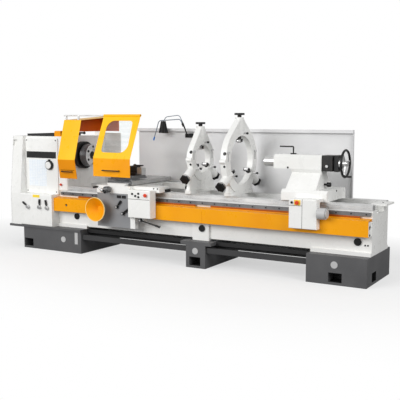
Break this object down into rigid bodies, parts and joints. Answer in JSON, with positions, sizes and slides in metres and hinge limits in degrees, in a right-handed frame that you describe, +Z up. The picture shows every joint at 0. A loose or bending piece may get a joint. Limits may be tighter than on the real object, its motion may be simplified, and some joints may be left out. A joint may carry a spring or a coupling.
{
  "type": "universal lathe",
  "caption": "Long centre lathe: white bed on dark pedestals, headstock with hinged chuck guard and sliding window door, carriage, two steady rests and motor-moved tailstock.",
  "frame": {"origin": "on the floor under the middle pedestal, in the vertical plane of the spindle axis", "axes": "+X along the bed towards the tailstock, +Y from the operator to the back, +Z up"},
  "size_m": [5.1, 1.23, 1.8],
  "materials": {
    "white_paint": "gloss",
    "yellow_paint": "gloss",
    "dark_grey_paint": "satin",
    "grey_paint": "satin",
    "light_grey_paint": "satin",
    "ground_steel": "ground",
    "black_steel": "blackened",
    "black_plastic": "matte",
    "black_rubber": "matte",
    "red_plastic": "gloss",
    "blue_plastic": "gloss",
    "clear_window": "clear"
  },
  "bodies": {
    "machine": {"pedestals": "dark_grey_paint", "base_and_trays": "dark_grey_paint", "bed": "white_paint", "bed_ways": "ground_steel", "bed_plugs": "black_plastic", "rack": "ground_steel", "leadscrew_cover": "yellow_paint", "splash_guard": "light_grey_paint", "headstock": "white_paint", "end_cover": "white_paint", "control_panel": "white_paint", "feed_gearbox": "white_paint", "headstock_mat": "black_rubber", "bearing_cover": "black_steel", "guard_rest": "yellow_paint", "lamp": "black_steel", "coolant_pipe": "blue_plastic", "small_steady_base": "white_paint", "large_steady_base": "white_paint"},
    "carriage": {"saddle": "white_paint", "apron": "grey_paint", "control_box": "white_paint"},
    "tailstock": {"tailstock_base": "white_paint", "tail_box": "white_paint"},
    "tailstock_upper": {"tailstock_body": "white_paint", "tailstock_housing": "black_steel"},
    "guard_door": {"guard_door": "yellow_paint", "door_window": "clear_window"},
    "leadscrew": {"leadscrew": "ground_steel"},
    "spindle": {"spindle": "ground_steel"},
    "speed_dial": {"speed_dial": "black_plastic"},
    "head_stop_button": {"head_stop_button": "red_plastic"},
    "chuck_guard": {"chuck_guard": "yellow_paint"},
    "carriage_estop": {"carriage_estop": "red_plastic"},
    "apron_handwheel": {"apron_handwheel": "yellow_paint"},
    "half_nut_lever": {"half_nut_lever": "black_steel"},
    "feed_lever": {"feed_lever": "black_steel"},
    "switch_lever": {"switch_lever": "black_steel"},
    "cross_slide": {"cross_slide": "ground_steel"},
    "crossfeed_crank": {"crossfeed_crank": "ground_steel"},
    "compound": {"compound": "ground_steel"},
    "top_slide": {"top_slide": "ground_steel"},
    "tool_post": {"tool_post": "black_steel"},
    "tailstock_quill": {"tailstock_quill": "ground_steel"},
    "tail_handwheel": {"tail_handwheel": "black_steel"},
    "quill_clamp": {"quill_clamp": "black_steel"},
    "tail_estop": {"tail_estop": "red_plastic"},
    "foot_brake": {"foot_brake": "dark_grey_paint"},
    "gearbox_lever_1": {"gearbox_lever_1": "black_plastic"},
    "gearbox_lever_2": {"gearbox_lever_2": "black_plastic"},
    "gearbox_lever_3": {"gearbox_lever_3": "black_plastic"},
    "small_steady_top": {"small_steady_top": "white_paint"},
    "small_steady_quill_1": {"small_steady_quill_1": "ground_steel"},
    "small_steady_quill_2": {"small_steady_quill_2": "ground_steel"},
    "small_steady_quill_3": {"small_steady_quill_3": "ground_steel"},
    "large_steady_top": {"large_steady_top": "white_paint"},
    "large_steady_quill_1": {"large_steady_quill_1": "ground_steel"},
    "large_steady_quill_2": {"large_steady_quill_2": "ground_steel"},
    "large_steady_quill_3": {"large_steady_quill_3": "ground_steel"}
  },
  "joints": [
    {"name": "spindle_turn", "type": "hinge", "parent": "machine", "child": "spindle", "pos_m": [-2, 0, 1.25], "axis": [1, 0, 0], "continuous": true},
    {"name": "leadscrew_turn", "type": "hinge", "parent": "machine", "child": "leadscrew", "pos_m": [0, -0.335, 0.62], "axis": [1, 0, 0], "continuous": true},
    {"name": "dial_turn", "type": "hinge", "parent": "machine", "child": "speed_dial", "pos_m": [-2.313, -0.318, 1.12], "axis": [0, 1, 0], "range_deg": [-150, 150]},
    {"name": "gear_shift_1", "type": "hinge", "parent": "machine", "child": "gearbox_lever_1", "pos_m": [-2.611, -0.43, 0.561], "axis": [0, 1, 0], "range_deg": [-20, 20]},
    {"name": "gear_shift_2", "type": "hinge", "parent": "machine", "child": "gearbox_lever_2", "pos_m": [-2.405, -0.43, 0.566], "axis": [0, 1, 0], "range_deg": [-20, 20]},
    {"name": "gear_shift_3", "type": "hinge", "parent": "machine", "child": "gearbox_lever_3", "pos_m": [-2.273, -0.43, 0.563], "axis": [0, 1, 0], "range_deg": [-20, 20]},
    {"name": "head_stop_press", "type": "slide", "parent": "machine", "child": "head_stop_button", "axis": [0, 1, 0], "range_m": [0, 0.006], "stiffness_N_per_m": 800, "springref_m": -0.006},
    {"name": "guard_swing", "type": "hinge", "parent": "machine", "child": "chuck_guard", "pos_m": [-2.08, 0.43, 1.585], "axis": [-1, 0, 0], "range_deg": [0, 70]},
    {"name": "door_slide", "type": "slide", "parent": "chuck_guard", "child": "guard_door", "axis": [-1, 0, 0], "range_m": [0, 0.395]},
    {"name": "carriage_travel", "type": "slide", "parent": "machine", "child": "carriage", "axis": [1, 0, 0], "range_m": [-0.38, 0.2]},
    {"name": "handwheel_turn", "type": "hinge", "parent": "carriage", "child": "apron_handwheel", "pos_m": [-1.335, -0.5, 0.622], "axis": [0, 1, 0], "continuous": true},
    {"name": "half_nut_throw", "type": "hinge", "parent": "carriage", "child": "half_nut_lever", "pos_m": [-1.092, -0.47, 0.655], "axis": [0, 1, 0], "range_deg": [0, 45]},
    {"name": "feed_throw", "type": "hinge", "parent": "carriage", "child": "feed_lever", "pos_m": [-1.002, -0.47, 0.58], "axis": [0, 1, 0], "range_deg": [-20, 15]},
    {"name": "switch_throw", "type": "hinge", "parent": "carriage", "child": "switch_lever", "pos_m": [-0.74, -0.47, 0.515], "axis": [0, 1, 0], "range_deg": [-12, 12]},
    {"name": "carriage_stop_press", "type": "slide", "parent": "carriage", "child": "carriage_estop", "axis": [0, 1, 0], "range_m": [0, 0.006], "stiffness_N_per_m": 800, "springref_m": -0.006},
    {"name": "cross_travel", "type": "slide", "parent": "carriage", "child": "cross_slide", "axis": [0, -1, 0], "range_m": [-0.03, 0.19]},
    {"name": "crank_turn", "type": "hinge", "parent": "carriage", "child": "crossfeed_crank", "pos_m": [-1.205, -0.5, 0.868], "axis": [0, 1, 0], "continuous": true},
    {"name": "compound_swivel", "type": "hinge", "parent": "cross_slide", "child": "compound", "pos_m": [-1.107, -0.23, 0.97], "axis": [0, 0, 1], "range_deg": [-45, 45]},
    {"name": "top_travel", "type": "slide", "parent": "compound", "child": "top_slide", "axis": [0, 1, 0], "range_m": [-0.06, 0.06]},
    {"name": "post_turn", "type": "hinge", "parent": "top_slide", "child": "tool_post", "pos_m": [-1.052, -0.15, 1.03], "axis": [0, 0, 1], "range_deg": [-90, 90]},
    {"name": "small_steady_open", "type": "hinge", "parent": "machine", "child": "small_steady_top", "pos_m": [-0.184, -0.262, 1.25], "axis": [1, 0, 0], "range_deg": [0, 90]},
    {"name": "small_steady_feed_1", "type": "slide", "parent": "small_steady_top", "child": "small_steady_quill_1", "axis": [0, 0, -1], "range_m": [-0.01, 0.022]},
    {"name": "small_steady_feed_2", "type": "slide", "parent": "machine", "child": "small_steady_quill_2", "axis": [0, 0.848, 0.5299], "range_m": [-0.01, 0.022]},
    {"name": "small_steady_feed_3", "type": "slide", "parent": "machine", "child": "small_steady_quill_3", "axis": [0, -0.848, 0.5299], "range_m": [-0.01, 0.022]},
    {"name": "large_steady_open", "type": "hinge", "parent": "machine", "child": "large_steady_top", "pos_m": [0.344, -0.395, 1.25], "axis": [1, 0, 0], "range_deg": [0, 90]},
    {"name": "large_steady_feed_1", "type": "slide", "parent": "large_steady_top", "child": "large_steady_quill_1", "axis": [0, 0, -1], "range_m": [-0.03, 0.022]},
    {"name": "large_steady_feed_2", "type": "slide", "parent": "machine", "child": "large_steady_quill_2", "axis": [0, 0.848, 0.5299], "range_m": [-0.03, 0.022]},
    {"name": "large_steady_feed_3", "type": "slide", "parent": "machine", "child": "large_steady_quill_3", "axis": [0, -0.848, 0.5299], "range_m": [-0.03, 0.022]},
    {"name": "tailstock_travel", "type": "slide", "parent": "machine", "child": "tailstock", "axis": [1, 0, 0], "range_m": [-0.1, 0.37]},
    {"name": "tail_stop_press", "type": "slide", "parent": "tailstock", "child": "tail_estop", "axis": [0, 1, 0], "range_m": [0, 0.006], "stiffness_N_per_m": 800, "springref_m": -0.006},
    {"name": "tailstock_offset", "type": "slide", "parent": "tailstock", "child": "tailstock_upper", "axis": [0, 1, 0], "range_m": [-0.01, 0.01]},
    {"name": "quill_travel", "type": "slide", "parent": "tailstock_upper", "child": "tailstock_quill", "axis": [1, 0, 0], "range_m": [-0.12, 0.12]},
    {"name": "tail_wheel_turn", "type": "hinge", "parent": "tailstock_upper", "child": "tail_handwheel", "pos_m": [1.64, 0, 1.25], "axis": [1, 0, 0], "continuous": true},
    {"name": "quill_lock_turn", "type": "hinge", "parent": "tailstock_upper", "child": "quill_clamp", "pos_m": [1.03, 0, 1.338], "axis": [0, 0, 1], "range_deg": [-60, 30]},
    {"name": "brake_press", "type": "hinge", "parent": "machine", "child": "foot_brake", "pos_m": [0, -0.18, 0.225], "axis": [1, 0, 0], "range_deg": [0, 12], "stiffness_Nm_per_rad": 120, "springref_deg": -20.05}
  ],
  "couplings": [
    {"joint": "handwheel_turn", "follows": "carriage_travel", "rad_per_m": 209.44},
    {"joint": "crank_turn", "follows": "cross_travel", "rad_per_m": -628.32},
    {"joint": "tail_wheel_turn", "follows": "quill_travel", "rad_per_m": 628.32}
  ]
}
